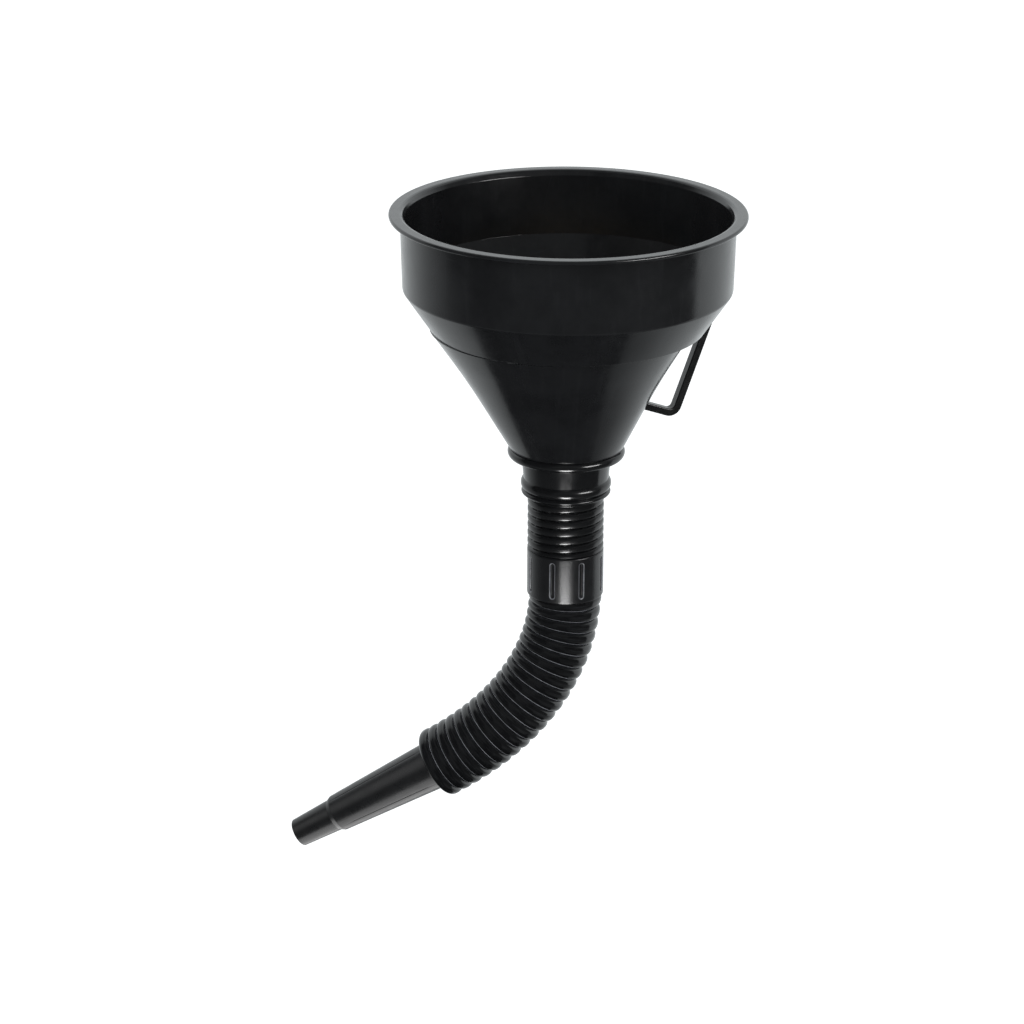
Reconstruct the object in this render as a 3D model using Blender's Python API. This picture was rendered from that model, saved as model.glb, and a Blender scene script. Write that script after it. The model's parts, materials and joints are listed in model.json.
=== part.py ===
"""A plastic fuel and oil funnel with a strainer, a hanging handle and a flexible bellows spout.

Units are metres and +Z is up. The object is drawn around the bowl's axis, with z = 0 at the
widest circle of the rim, and is then set down so that the origin is under the middle of it.
"""

from math import cos, pi, radians, sin, tan

import bmesh
import bpy
from mathutils import Matrix, Vector

MM = 0.001
CLEARANCE = 0.35 * MM

# Bowl
RIM_RADIUS = 80.0 * MM
RIM_EDGE_RADIUS = 1.0 * MM
RIM_FLAT_INNER = 75.3 * MM
BAND_TOP_RADIUS = 74.9 * MM
BAND_BOTTOM_RADIUS = 74.1 * MM
BAND_BOTTOM_Z = -33.3 * MM
MOUTH_RADIUS = 74.4 * MM
INNER_BAND_BOTTOM = (72.0 * MM, -29.2 * MM)
STEP_RADIUS = 61.9 * MM
STEP_Z = -51.5 * MM
LOWER_CONE_TOP = (58.9 * MM, -52.1 * MM)
LEDGE_Z = -49.6 * MM
LEDGE_OUTER = 60.2 * MM
LEDGE_INNER = 56.9 * MM
CONE_BEND = (44.3 * MM, -75.0 * MM)
CONE_FOOT = (25.8 * MM, -109.0 * MM)
SPIGOT_OUTER = 17.2 * MM
SPIGOT_INNER = 15.6 * MM
SPIGOT_END_Z = -128.0 * MM
LOWER_CONE_SHIFT = 3.0 * MM
BOWL_STEPS = 48

# Handle: a flat strap in the plane through the bowl's axis
HANDLE_AZIMUTH = radians(20.0)
HANDLE_LEAN = radians(20.3)
HANDLE_TOP = (70.85 * MM, -47.65 * MM)
HANDLE_BAR_LENGTH = 54.4 * MM
HANDLE_THICKNESS = 3.5 * MM
HANDLE_WIDTH = 5.0 * MM
HANDLE_BEND = 3.9 * MM

# Strainer
STRAINER_OUTER = 59.4 * MM
STRAINER_INNER = 53.8 * MM
STRAINER_REBATE = 56.4 * MM
STRAINER_HEIGHT = 2.6 * MM
GAUZE_RADIUS = 56.0 * MM
GAUZE_PITCH = 13.6 * MM
GAUZE_BAR = 1.6 * MM
GAUZE_THICKNESS = 0.6 * MM
STRAINER_STEPS = 36

# Spout adapter
LIP_RADIUS = 25.1 * MM
LIP_REACH = 1.65 * MM
LIP_HALF_HEIGHT = 1.9 * MM
LIP_Z = -111.25 * MM
NECK_RADIUS = 19.5 * MM
BEAD_RADIUS = 20.6 * MM
BEAD_TOP_Z = -123.6 * MM
BEAD_HEIGHT = 5.2 * MM
SECOND_BEAD_HEIGHT = 2.5 * MM
RIB_RADIUS = 17.5 * MM
RIB_GROOVE = 0.9 * MM
RIB_PITCH = 3.87 * MM
RIB_COUNT = 6
RIBS_TOP_Z = -132.2 * MM
LAST_RIB_HEIGHT = 2.0 * MM
TAIL_RADIUS = 15.2 * MM
TAIL_BORE = 13.8 * MM
TAIL_END_Z = -176.0 * MM
ADAPTER_STEPS = 28

# Grip sleeve
SLEEVE_RADIUS = 17.6 * MM
SLEEVE_BORE = 15.6 * MM
SLEEVE_TOP_Z = -157.8 * MM
SLEEVE_BOTTOM_Z = -180.0 * MM
SLOT_COUNT = 8
SLOT_FIRST = radians(-109.6)
SLOT_WIDTH = 2.5 * MM
SLOT_LENGTH = 17.5 * MM
SLOT_DEPTH = 0.9 * MM
SLEEVE_STEPS = 36

# Bellows hose: its centre line leaves the sleeve straight down, and its bend fades along it
LINK_COUNT = 21
LINK_PITCH = 5.234 * MM
FIRST_CREST = 1.893 * MM
CREST_RADIUS = 16.7 * MM
VALLEY_RADIUS = 13.0 * MM
LINK_BORE = 12.0 * MM
CREST_HALF = 0.8 * MM
VALLEY_HALF = 1.5 * MM
COLLAR_RADIUS = 11.2 * MM
COLLAR_BORE = 10.4 * MM
COLLAR_TOP = 3.9 * MM
BEND_AT_SLEEVE = 14.87
BEND_FADE = 102.0
HEADING_AT_SLEEVE = radians(205.86)
HEADING_TURN = radians(-318.9)
LINK_STEPS = 18

# Nozzle
NOZZLE_COLLAR = 12.8 * MM
NOZZLE_ROOT = 11.4 * MM
NOZZLE_SHOULDER = 8.85 * MM
NOZZLE_STEP = 7.75 * MM
NOZZLE_TIP = 6.75 * MM
NOZZLE_WALL = 1.4 * MM
NOZZLE_SHOULDER_AT = 56.0 * MM
NOZZLE_LENGTH = 78.8 * MM
NOZZLE_STEPS = 28


def clear_scene():
    for item in list(bpy.data.objects):
        bpy.data.objects.remove(item, do_unlink=True)


def plastic(name, grey, roughness):
    material = bpy.data.materials.new(name)
    material.use_nodes = True
    shader = material.node_tree.nodes["Principled BSDF"]
    shader.inputs["Base Color"].default_value = (grey, grey, grey * 1.04, 1.0)
    shader.inputs["Roughness"].default_value = roughness
    shader.inputs["Metallic"].default_value = 0.0
    return material


def metal(name, colour, roughness):
    material = plastic(name, 0.5, roughness)
    shader = material.node_tree.nodes["Principled BSDF"]
    shader.inputs["Base Color"].default_value = (*colour, 1.0)
    shader.inputs["Metallic"].default_value = 1.0
    return material


def finish(name, bm, material, parent, sharp=35.0):
    """Turns the bmesh into a named object under its parent."""
    bmesh.ops.recalc_face_normals(bm, faces=bm.faces)
    mesh = bpy.data.meshes.new(name)
    bm.to_mesh(mesh)
    bm.free()
    mesh.materials.append(material)
    mesh.shade_smooth()
    mesh.set_sharp_from_angle(angle=radians(sharp))
    return place(name, mesh, parent)


def place(name, mesh, parent):
    item = bpy.data.objects.new(name, mesh)
    bpy.context.scene.collection.objects.link(item)
    item.parent = parent
    return item


def empty(name, parent=None):
    item = bpy.data.objects.new(name, None)
    item.empty_display_size = 0.02
    bpy.context.scene.collection.objects.link(item)
    item.parent = parent
    return item


def arc(centre, radius, start, end, steps):
    """Points (r, z) along an arc, from one angle in degrees to another."""
    points = []
    for i in range(steps + 1):
        angle = radians(start + (end - start) * i / steps)
        points.append((centre[0] + radius * cos(angle), centre[1] + radius * sin(angle)))
    return points


def turned(profile, steps):
    """A closed profile of (r, z) points, spun about Z."""
    bm = bmesh.new()
    verts = [bm.verts.new((r, 0.0, z)) for r, z in profile]
    edges = [bm.edges.new((verts[i - 1], verts[i])) for i in range(len(verts))]
    bmesh.ops.spin(
        bm,
        geom=verts + edges,
        cent=(0, 0, 0),
        axis=(0, 0, 1),
        angle=2 * pi,
        steps=steps,
        use_merge=True,
    )
    return bm


def bowl_profile():
    rim = arc((RIM_RADIUS - RIM_EDGE_RADIUS, 0.0), RIM_EDGE_RADIUS, 90, -90, 6)
    corner = [
        (BAND_BOTTOM_RADIUS, BAND_BOTTOM_Z + 1.2 * MM),
        (BAND_BOTTOM_RADIUS - 0.4 * MM, BAND_BOTTOM_Z - 0.6 * MM),
        (BAND_BOTTOM_RADIUS - 1.3 * MM, BAND_BOTTOM_Z - 2.1 * MM),
    ]
    outside = [(RIM_FLAT_INNER, RIM_EDGE_RADIUS)] + rim
    outside += [(BAND_TOP_RADIUS + 0.2 * MM, -RIM_EDGE_RADIUS)]
    outside += [(BAND_TOP_RADIUS, -RIM_EDGE_RADIUS - 0.5 * MM)] + corner
    outside += [(STEP_RADIUS, STEP_Z), LOWER_CONE_TOP, CONE_BEND, CONE_FOOT]
    spigot = [
        (SPIGOT_OUTER, CONE_FOOT[1]),
        (SPIGOT_OUTER, SPIGOT_END_Z),
        (SPIGOT_INNER, SPIGOT_END_Z),
        (SPIGOT_INNER, CONE_FOOT[1] + 2.0 * MM),
        (CONE_FOOT[0] - 1.6 * MM, CONE_FOOT[1] + 5.5 * MM),
    ]
    inside = [
        (LEDGE_INNER, LEDGE_Z - 0.3 * MM),
        (LEDGE_INNER, LEDGE_Z),
        (LEDGE_OUTER, LEDGE_Z),
        INNER_BAND_BOTTOM,
        (MOUTH_RADIUS - 1.5 * MM, -1.6 * MM),
        (MOUTH_RADIUS - 0.7 * MM, 0.2 * MM),
        (MOUTH_RADIUS, RIM_EDGE_RADIUS * 0.8),
    ]
    return outside + spigot + inside


def cone_shift(z):
    """How far the lower cone is set over at this height: nothing at its foot, most at its top."""
    rise = (z - CONE_FOOT[1]) / (LOWER_CONE_TOP[1] - CONE_FOOT[1])
    return LOWER_CONE_SHIFT * min(max(rise, 0.0), 1.0)


def lean_lower_cone(bm):
    """Shifts the lower cone's top away from the handle, which leaves room there for a hand."""
    away = Vector((-cos(HANDLE_AZIMUTH), -sin(HANDLE_AZIMUTH), 0.0))
    inner_top = LEDGE_INNER + 0.1 * MM
    for vert in bm.verts:
        radius = vert.co.xy.length
        outer = vert.co.z < STEP_Z - 0.1 * MM
        inner = vert.co.z < LEDGE_Z + 0.1 * MM and radius < inner_top
        if outer or inner:
            vert.co += away * cone_shift(vert.co.z)


def build_bowl(parent, material):
    bm = turned(bowl_profile(), BOWL_STEPS)
    lean_lower_cone(bm)
    return finish("funnel_bowl", bm, material, parent)


def rounded_path(points, radius, steps):
    """The path through 2-D points with each inner corner turned into an arc."""
    path = [points[0]]
    for before, corner, after in zip(points, points[1:], points[2:]):
        back = (before - corner).normalized()
        ahead = (after - corner).normalized()
        half = back.angle(ahead) / 2
        reach = radius / tan(half)
        centre = corner + (back + ahead).normalized() * (radius / sin(half))
        start = corner + back * reach - centre
        end = corner + ahead * reach - centre
        for i in range(steps + 1):
            path.append(centre + start.slerp(end, i / steps).normalized() * radius)
    path.append(points[-1])
    return path


def handle_outline():
    """The strap's outline in (r, z). Both ends stop just short of the bowl."""
    down = Vector((-sin(HANDLE_LEAN), -cos(HANDLE_LEAN)))
    inward = Vector((-cos(HANDLE_LEAN), sin(HANDLE_LEAN)))
    top = Vector(HANDLE_TOP)
    foot = top + down * HANDLE_BAR_LENGTH
    path = rounded_path([top + inward * 6 * MM, top, foot, foot + inward * 20 * MM], HANDLE_BEND, 5)
    half = HANDLE_THICKNESS / 2
    sides = []
    for side in (1, -1):
        points = []
        for i, point in enumerate(path):
            ahead = path[min(i + 1, len(path) - 1)]
            behind = path[max(i - 1, 0)]
            along = (ahead - behind).normalized()
            across = Vector((-along.y, along.x))
            points.append(point + across * half * side)
        points[0] = on_surface(points[0], inward, (STEP_RADIUS, STEP_Z), upper_slope())
        points[-1] = on_surface(points[-1], inward, CONE_FOOT, lower_slope())
        sides.append(points)
    return sides[0] + sides[1][::-1]


def upper_slope():
    low = (STEP_RADIUS, STEP_Z)
    high = (BAND_BOTTOM_RADIUS - 1.3 * MM, BAND_BOTTOM_Z - 2.1 * MM)
    return (high[0] - low[0]) / (high[1] - low[1])


def lower_slope():
    reach = CONE_BEND[0] - cone_shift(CONE_BEND[1]) - CONE_FOOT[0]
    return reach / (CONE_BEND[1] - CONE_FOOT[1])


def on_surface(point, direction, base, slope):
    """Where a line in (r, z) comes within the clearance of the cone r = base + slope * z."""
    radius = base[0] + slope * (point.y - base[1]) + CLEARANCE * 1.25
    step = (point.x - radius) / (slope * direction.y - direction.x)
    return point + direction * step


def build_handle(parent, material):
    bm = bmesh.new()
    verts = [bm.verts.new((p.x, -HANDLE_WIDTH / 2, p.y)) for p in handle_outline()]
    face = bm.faces.new(verts)
    pushed = bmesh.ops.extrude_face_region(bm, geom=[face])
    moved = [item for item in pushed["geom"] if isinstance(item, bmesh.types.BMVert)]
    bmesh.ops.translate(bm, verts=moved, vec=(0, HANDLE_WIDTH, 0))
    handle = finish("handle", bm, material, parent, 30.0)
    handle.rotation_euler = (0, 0, HANDLE_AZIMUTH)
    bevel = handle.modifiers.new("rounded_edges", "BEVEL")
    bevel.width = 0.45 * MM
    bevel.segments = 2
    bevel.limit_method = "ANGLE"
    bevel.angle_limit = radians(50)
    return handle


def build_strainer(parent, frame_material, gauze_material):
    """A ring that rests on the bowl's inner ledge, and the gauze it holds."""
    seat = empty("strainer_lift_axis", parent)
    seat.location.z = LEDGE_Z + CLEARANCE
    profile = [
        (STRAINER_OUTER, STRAINER_HEIGHT),
        (STRAINER_REBATE, STRAINER_HEIGHT),
        (STRAINER_REBATE, 0.8 * MM),
        (STRAINER_INNER, 0.8 * MM),
        (STRAINER_INNER, 0.0),
        (STRAINER_OUTER - 0.6 * MM, 0.0),
        (STRAINER_OUTER, 0.6 * MM),
    ]
    finish("strainer_frame", turned(profile, STRAINER_STEPS), frame_material, seat)
    gauze = finish("strainer_gauze", gauze_grid(), gauze_material, seat)
    gauze.location.z = 0.8 * MM + CLEARANCE
    thick = gauze.modifiers.new("wire_thickness", "SOLIDIFY")
    thick.thickness = GAUZE_THICKNESS
    thick.offset = 1.0
    return seat


def grid_lines():
    """Positions across the gauze where a wire starts or ends."""
    lines = []
    count = int(GAUZE_RADIUS / GAUZE_PITCH) + 1
    for i in range(-count, count + 1):
        lines += [i * GAUZE_PITCH - GAUZE_BAR / 2, i * GAUZE_PITCH + GAUZE_BAR / 2]
    return lines


def gauze_grid():
    """A flat lattice cut to a disc, with square holes between its wires."""
    lines = grid_lines()
    bm = bmesh.new()
    verts = [[bm.verts.new((x, y, 0)) for y in lines] for x in lines]
    for i in range(len(lines) - 1):
        for j in range(len(lines) - 1):
            hole = i % 2 == 1 and j % 2 == 1
            if not hole:
                quad = (verts[i][j], verts[i + 1][j], verts[i + 1][j + 1], verts[i][j + 1])
                bm.faces.new(quad)
    for i in range(STRAINER_STEPS):
        angle = 2 * pi * (i + 0.5) / STRAINER_STEPS
        normal = (cos(angle), sin(angle), 0)
        cut = Vector(normal) * GAUZE_RADIUS
        everything = list(bm.verts) + list(bm.edges) + list(bm.faces)
        bmesh.ops.bisect_plane(bm, geom=everything, plane_co=cut, plane_no=normal, clear_outer=True)
    loose = [vert for vert in bm.verts if not vert.link_faces]
    bmesh.ops.delete(bm, geom=loose, context="VERTS")
    return bm


def adapter_profile():
    """The adapter's outside from its lip down over neck, beads and ribs, then its bore."""
    round_end = arc((0, 0), 1, 90, -90, 6)
    outside = [(LIP_RADIUS + r * LIP_REACH, LIP_Z + z * LIP_HALF_HEIGHT) for r, z in round_end]
    outside += [(NECK_RADIUS + 1.6 * MM, LIP_Z - 2.2 * MM), (NECK_RADIUS, LIP_Z - 4.4 * MM)]
    z = BEAD_TOP_Z
    for height, radius in ((BEAD_HEIGHT, BEAD_RADIUS), (SECOND_BEAD_HEIGHT, BEAD_RADIUS - 0.2 * MM)):
        outside += [(NECK_RADIUS, z), (radius, z - 0.28 * height), (radius, z - 0.72 * height)]
        z -= height
    outside += [(NECK_RADIUS - 0.3 * MM, z), (RIB_RADIUS - RIB_GROOVE, z - 0.4 * MM)]
    z = RIBS_TOP_Z
    for _ in range(RIB_COUNT):
        outside += [
            (RIB_RADIUS, z - 0.3 * RIB_PITCH),
            (RIB_RADIUS, z - 0.7 * RIB_PITCH),
            (RIB_RADIUS - RIB_GROOVE, z - RIB_PITCH),
        ]
        z -= RIB_PITCH
    end = z - LAST_RIB_HEIGHT
    outside += [(RIB_RADIUS - 0.2 * MM, z - 0.5 * MM), (RIB_RADIUS - 0.2 * MM, end + 0.5 * MM)]
    outside += [(TAIL_RADIUS, end), (TAIL_RADIUS, TAIL_END_Z)]
    seat = SPIGOT_OUTER + CLEARANCE
    shelf = SPIGOT_END_Z - CLEARANCE
    inside = [(TAIL_BORE, TAIL_END_Z), (TAIL_BORE, shelf - 2.0 * MM), (seat, shelf)]
    lip_top = LIP_Z + LIP_HALF_HEIGHT
    return outside + inside + [(seat, lip_top), (LIP_RADIUS - 1.5 * MM, lip_top)]


def build_adapter(parent, material):
    return finish("spout_adapter", turned(adapter_profile(), ADAPTER_STEPS), material, parent)


def slot_cutter(parent):
    """Eight upright bars with round ends, standing where the sleeve is recessed."""
    bm = bmesh.new()
    half_width = SLOT_WIDTH / 2
    half_straight = SLOT_LENGTH / 2 - half_width
    inner = SLEEVE_RADIUS - SLOT_DEPTH
    outer = SLEEVE_RADIUS + 1.0 * MM
    middle = (SLEEVE_TOP_Z + SLEEVE_BOTTOM_Z) / 2
    outline = arc((0, half_straight), half_width, 0, 180, 6)
    outline += arc((0, -half_straight), half_width, 180, 360, 6)
    for i in range(SLOT_COUNT):
        turn = Matrix.Rotation(SLOT_FIRST + i * 2 * pi / SLOT_COUNT, 4, "Z")
        verts = [bm.verts.new(turn @ Vector((inner, y, middle + z))) for y, z in outline]
        face = bm.faces.new(verts)
        pushed = bmesh.ops.extrude_face_region(bm, geom=[face])
        moved = [item for item in pushed["geom"] if isinstance(item, bmesh.types.BMVert)]
        bmesh.ops.translate(bm, verts=moved, vec=turn @ Vector((outer - inner, 0, 0)))
    bmesh.ops.recalc_face_normals(bm, faces=bm.faces)
    mesh = bpy.data.meshes.new("slot_cutter")
    bm.to_mesh(mesh)
    bm.free()
    cutter = place("slot_cutter", mesh, parent)
    cutter.hide_render = True
    cutter.display_type = "WIRE"
    return cutter


def build_sleeve(parent, material):
    """The grip sleeve, which turns on the adapter's ribbed tail and carries the hose."""
    axis = empty("spout_swivel_axis", parent)
    rounding = 0.7 * MM
    profile = [
        (SLEEVE_BORE, SLEEVE_TOP_Z),
        (SLEEVE_RADIUS - rounding, SLEEVE_TOP_Z),
        (SLEEVE_RADIUS, SLEEVE_TOP_Z - rounding),
        (SLEEVE_RADIUS, SLEEVE_BOTTOM_Z + rounding),
        (SLEEVE_RADIUS - rounding, SLEEVE_BOTTOM_Z),
        (LINK_BORE, SLEEVE_BOTTOM_Z),
        (LINK_BORE, SLEEVE_BOTTOM_Z + 1.4 * MM),
        (SLEEVE_BORE, SLEEVE_BOTTOM_Z + 2.2 * MM),
    ]
    sleeve = finish("grip_sleeve", turned(profile, SLEEVE_STEPS), material, axis, 30.0)
    slots = sleeve.modifiers.new("grip_slots", "BOOLEAN")
    slots.operation = "DIFFERENCE"
    slots.object = slot_cutter(axis)
    return axis


def hose_tangent(s):
    """The centre line's direction and its sideways direction, s along the hose from the sleeve."""
    bend = BEND_AT_SLEEVE * s - BEND_FADE * s * s / 2
    heading = HEADING_AT_SLEEVE + HEADING_TURN * s
    flat = Vector((cos(heading), sin(heading), 0.0))
    side = Vector((-sin(heading), cos(heading), 0.0))
    return Vector((0.0, 0.0, -cos(bend))) + flat * sin(bend), side


def hose_point(s):
    """A point on the centre line, by adding up short straight steps from the sleeve's mouth."""
    point = Vector((0.0, 0.0, SLEEVE_BOTTOM_Z))
    steps = max(1, round(s / (0.25 * MM)))
    for i in range(steps):
        direction, _ = hose_tangent(s * (i + 0.5) / steps)
        point += direction * (s / steps)
    return point


def hose_frame(s):
    """The placement of a piece at s: its Z points back up the hose and its Y lies sideways."""
    direction, side = hose_tangent(s)
    up = -direction
    forward = side.cross(up)
    rotation = Matrix((forward, side, up)).transposed().to_4x4()
    return Matrix.Translation(hose_point(s)) @ rotation


def crest_position(index):
    return FIRST_CREST + index * LINK_PITCH


def link_mesh(material):
    """One convolution below its joint at z = 0, with a collar that reaches into the one above."""
    middle = -LINK_PITCH / 2
    profile = [
        (VALLEY_RADIUS, middle + VALLEY_HALF),
        (CREST_RADIUS, middle + CREST_HALF),
        (CREST_RADIUS, middle - CREST_HALF),
        (VALLEY_RADIUS, middle - VALLEY_HALF),
        (LINK_BORE, middle - VALLEY_HALF),
        (LINK_BORE, middle + VALLEY_HALF / 2),
        (COLLAR_BORE, middle + VALLEY_HALF - 0.3 * MM),
        (COLLAR_BORE, middle + COLLAR_TOP),
        (COLLAR_RADIUS, middle + COLLAR_TOP),
        (COLLAR_RADIUS, middle + VALLEY_HALF),
    ]
    bm = turned(profile, LINK_STEPS)
    bmesh.ops.recalc_face_normals(bm, faces=bm.faces)
    mesh = bpy.data.meshes.new("convolution")
    bm.to_mesh(mesh)
    bm.free()
    mesh.materials.append(material)
    mesh.shade_smooth()
    mesh.set_sharp_from_angle(angle=radians(30))
    return mesh


def set_world(item, frame):
    """Places an item by its pose in the drawing frame, whatever its parent's pose."""
    above = item.parent.get("drawn", None) if item.parent else None
    parent_frame = Matrix([above[i * 4 : i * 4 + 4] for i in range(4)]) if above else Matrix()
    item.matrix_local = parent_frame.inverted() @ frame
    item["drawn"] = [value for row in frame for value in row]


def build_hose(parent, material):
    """The bellows: each convolution hangs from the one above, with its origin on their joint."""
    mesh = link_mesh(material)
    above = parent
    for index in range(LINK_COUNT):
        link = place(f"hose_link_{index:02d}", mesh, above)
        lift = Matrix.Translation((0, 0, LINK_PITCH / 2))
        set_world(link, hose_frame(crest_position(index)) @ lift)
        above = link
    return above


def nozzle_profile():
    """(radius, height) pairs down the outside from inside the last convolution, then back up the bore."""
    start = LINK_PITCH / 2 - 0.3 * MM
    collar = LINK_PITCH / 2 - VALLEY_HALF - CLEARANCE
    outside = [
        (NOZZLE_ROOT, start),
        (NOZZLE_ROOT, collar),
        (NOZZLE_COLLAR, collar),
        (NOZZLE_COLLAR, collar - 0.7 * MM),
        (NOZZLE_ROOT, collar - 1.3 * MM),
        (NOZZLE_SHOULDER, -NOZZLE_SHOULDER_AT),
        (NOZZLE_STEP, -NOZZLE_SHOULDER_AT - 2.2 * MM),
        (NOZZLE_TIP, -NOZZLE_LENGTH),
    ]
    inside = [
        (NOZZLE_TIP - NOZZLE_WALL, -NOZZLE_LENGTH),
        (NOZZLE_STEP - NOZZLE_WALL, -NOZZLE_SHOULDER_AT),
        (NOZZLE_ROOT - NOZZLE_WALL, start),
    ]
    return outside + inside


def build_nozzle(parent, material):
    bm = turned(nozzle_profile(), NOZZLE_STEPS)
    nozzle = finish("nozzle", bm, material, parent)
    set_world(nozzle, hose_frame(crest_position(LINK_COUNT - 1) + LINK_PITCH / 2))
    return nozzle


def set_down(root):
    """Moves the whole object so that the origin is under the middle of its box."""
    bpy.context.view_layer.update()
    graph = bpy.context.evaluated_depsgraph_get()
    low = Vector((1e9, 1e9, 1e9))
    high = -low
    for item in bpy.data.objects:
        if item.type != "MESH" or item.hide_render:
            continue
        shape = item.evaluated_get(graph)
        for vert in shape.data.vertices:
            point = shape.matrix_world @ vert.co
            low = Vector(map(min, low, point))
            high = Vector(map(max, high, point))
    root.location = (-(low.x + high.x) / 2, -(low.y + high.y) / 2, -low.z)


def main():
    clear_scene()
    satin = plastic("satin_black", 0.012, 0.34)
    gloss = plastic("gloss_black", 0.010, 0.16)
    grained = plastic("grained_black", 0.016, 0.48)
    bellows = plastic("bellows_black", 0.011, 0.28)
    grey = plastic("strainer_grey", 0.05, 0.40)
    brass = metal("gauze_brass", (0.72, 0.55, 0.28), 0.35)
    root = empty("funnel")
    build_bowl(root, satin)
    build_handle(root, gloss)
    build_strainer(root, grey, brass)
    build_adapter(root, gloss)
    axis = build_sleeve(root, grained)
    last = build_hose(axis, bellows)
    build_nozzle(last, grained)
    set_down(root)


main()
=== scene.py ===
"""The look of a black plastic funnel with a strainer, a strap handle and a flexible bellows spout.

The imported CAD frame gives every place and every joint. Dimensions below are in millimetres in the
drawing frame, whose z = 0 is the widest circle of the rim on the bowl's axis; PLACE moves that
frame to the row frame, which is in metres.
"""

import json
from math import atan2, ceil, cos, floor, hypot, pi, radians, sin, tan

import bmesh
import bpy
from mathutils import Matrix, Vector

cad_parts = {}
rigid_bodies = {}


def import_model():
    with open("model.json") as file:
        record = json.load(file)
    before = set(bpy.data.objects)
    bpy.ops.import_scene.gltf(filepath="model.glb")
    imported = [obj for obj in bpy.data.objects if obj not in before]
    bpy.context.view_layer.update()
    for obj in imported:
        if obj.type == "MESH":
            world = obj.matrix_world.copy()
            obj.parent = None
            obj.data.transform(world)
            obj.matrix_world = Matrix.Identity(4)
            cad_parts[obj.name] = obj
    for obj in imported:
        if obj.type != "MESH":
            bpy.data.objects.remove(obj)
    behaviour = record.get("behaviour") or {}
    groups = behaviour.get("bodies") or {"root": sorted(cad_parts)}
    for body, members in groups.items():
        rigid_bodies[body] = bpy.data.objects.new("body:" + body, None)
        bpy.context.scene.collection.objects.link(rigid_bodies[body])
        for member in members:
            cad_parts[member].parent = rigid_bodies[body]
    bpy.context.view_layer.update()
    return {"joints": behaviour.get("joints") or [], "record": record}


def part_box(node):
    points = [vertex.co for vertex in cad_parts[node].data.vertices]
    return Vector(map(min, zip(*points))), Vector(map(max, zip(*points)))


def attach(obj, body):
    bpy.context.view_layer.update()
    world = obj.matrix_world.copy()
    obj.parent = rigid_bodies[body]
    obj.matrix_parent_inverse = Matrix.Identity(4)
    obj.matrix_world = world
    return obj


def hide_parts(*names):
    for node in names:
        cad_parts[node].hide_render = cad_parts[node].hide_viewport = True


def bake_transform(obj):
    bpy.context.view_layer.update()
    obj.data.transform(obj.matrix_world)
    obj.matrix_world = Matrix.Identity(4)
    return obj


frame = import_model()

MM = 0.001

# Rim
RIM_HALF = 1.0
RIM_RADIUS = 80.0

# Handle plane
HANDLE_AZIMUTH = radians(20.0)
HANDLE_LEAN = radians(20.3)
HANDLE_TOP = (70.85, -47.65)
HANDLE_BAR = 54.4
HANDLE_THICK = 3.5
HANDLE_WIDTH = 5.0
HANDLE_BEND = 3.9

# Bowl
CONE_TOP = (58.9, -52.1)
CONE_BEND = (44.3, -75.0)
CONE_FOOT = (25.8, -109.0)
STEP = (61.9, -51.5)
BAND_BOTTOM = (74.1, -33.5)
LEDGE_Z = -49.6
CONE_SHIFT = 3.0
CONE_WALL = 1.6
SPIGOT_RADIUS = 17.2
SPIGOT_BORE = 15.6
SPIGOT_END = -128.0

# Strainer
STRAINER_RADIUS = 59.4
STRAINER_OPENING = 53.8
STRAINER_HEIGHT = 2.6
STRAINER_REBATE = 0.8
WIRE_REACH = 55.3
WIRE_PITCH = 2.4
WIRE_RADIUS = 0.24
HEM_RADIUS = 0.55

# Adapter
LIP_RADIUS = 25.0
LIP_REACH = 1.75
LIP_HALF = 2.15
LIP_Z = -111.15
NECK_TOP = (20.4, -113.4)
NECK_FOOT = (19.5, -123.5)
BEADS_END = (17.3, -131.7)
ADAPTER_SEAT = 17.55
ADAPTER_BORE = 13.8
TAIL_RADIUS = 15.2
TAIL_END = -176.0

# Adapter's thread: a groove THREAD_DEPTH deep that passes THREAD_GROOVE where it faces the front
THREAD_RADIUS = 17.5
THREAD_DEPTH = 1.25
THREAD_PITCH = 3.87
THREAD_TOP = -132.1
THREAD_END = -157.4
THREAD_ROW = 0.23
THREAD_GROOVE = -136.05
THREAD_FACE = radians(270.0)

# Sleeve
SLEEVE_RADIUS = 17.6
SLEEVE_TOP = -157.8
SLEEVE_BOTTOM = -180.0
SLEEVE_SEAT = 15.6
SLEEVE_BORE = 12.0
COLLAR_RADIUS = 13.0
COLLAR_LENGTH = 1.6
SLOT_COUNT = 8
SLOT_FIRST = radians(-109.6)
SLOT_HALF = 1.25
SLOT_LENGTH = 17.5
SLOT_DEPTH = 0.95
SLOT_WALL = 0.6

# Hose: EDGE_AT and EDGE_RADIUS are the lower edge of a lobe, from its crest and from the axis
LINKS = 21
PITCH = 5.234
CREST = 16.7
VALLEY = 13.0
SKIN = 0.8
HOSE_STEPS = 96
EDGE_AT = 2.62
EDGE_RADIUS = 15.6

# Nozzle, and the bend of its two parting lines from the side that faces the front
NOZZLE_ROOT = 11.45
NOZZLE_SHOULDER = 8.85
NOZZLE_STEP = 7.75
NOZZLE_TIP = 6.75
NOZZLE_WALL = 1.4
NOZZLE_SHOULDER_AT = 56.0
NOZZLE_LENGTH = 78.8
LINE_DEPTH = 0.16
LINE_HALF = radians(1.4)
LINE_ANGLES = (radians(47), radians(-48))

# Blue against grey in the plastics
TINT = 1.08

# Camera: angles in radians, its place in metres from the rim's centre, sensor and lens in millimetres
CAMERA_PITCH = 0.351534
CAMERA_YAW = -0.015984
CAMERA_ROLL = 0.003742
CAMERA_BACK = 1.53769
CAMERA_UP = 0.42271
SENSOR = 36.0
LENS = 125.7613

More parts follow.
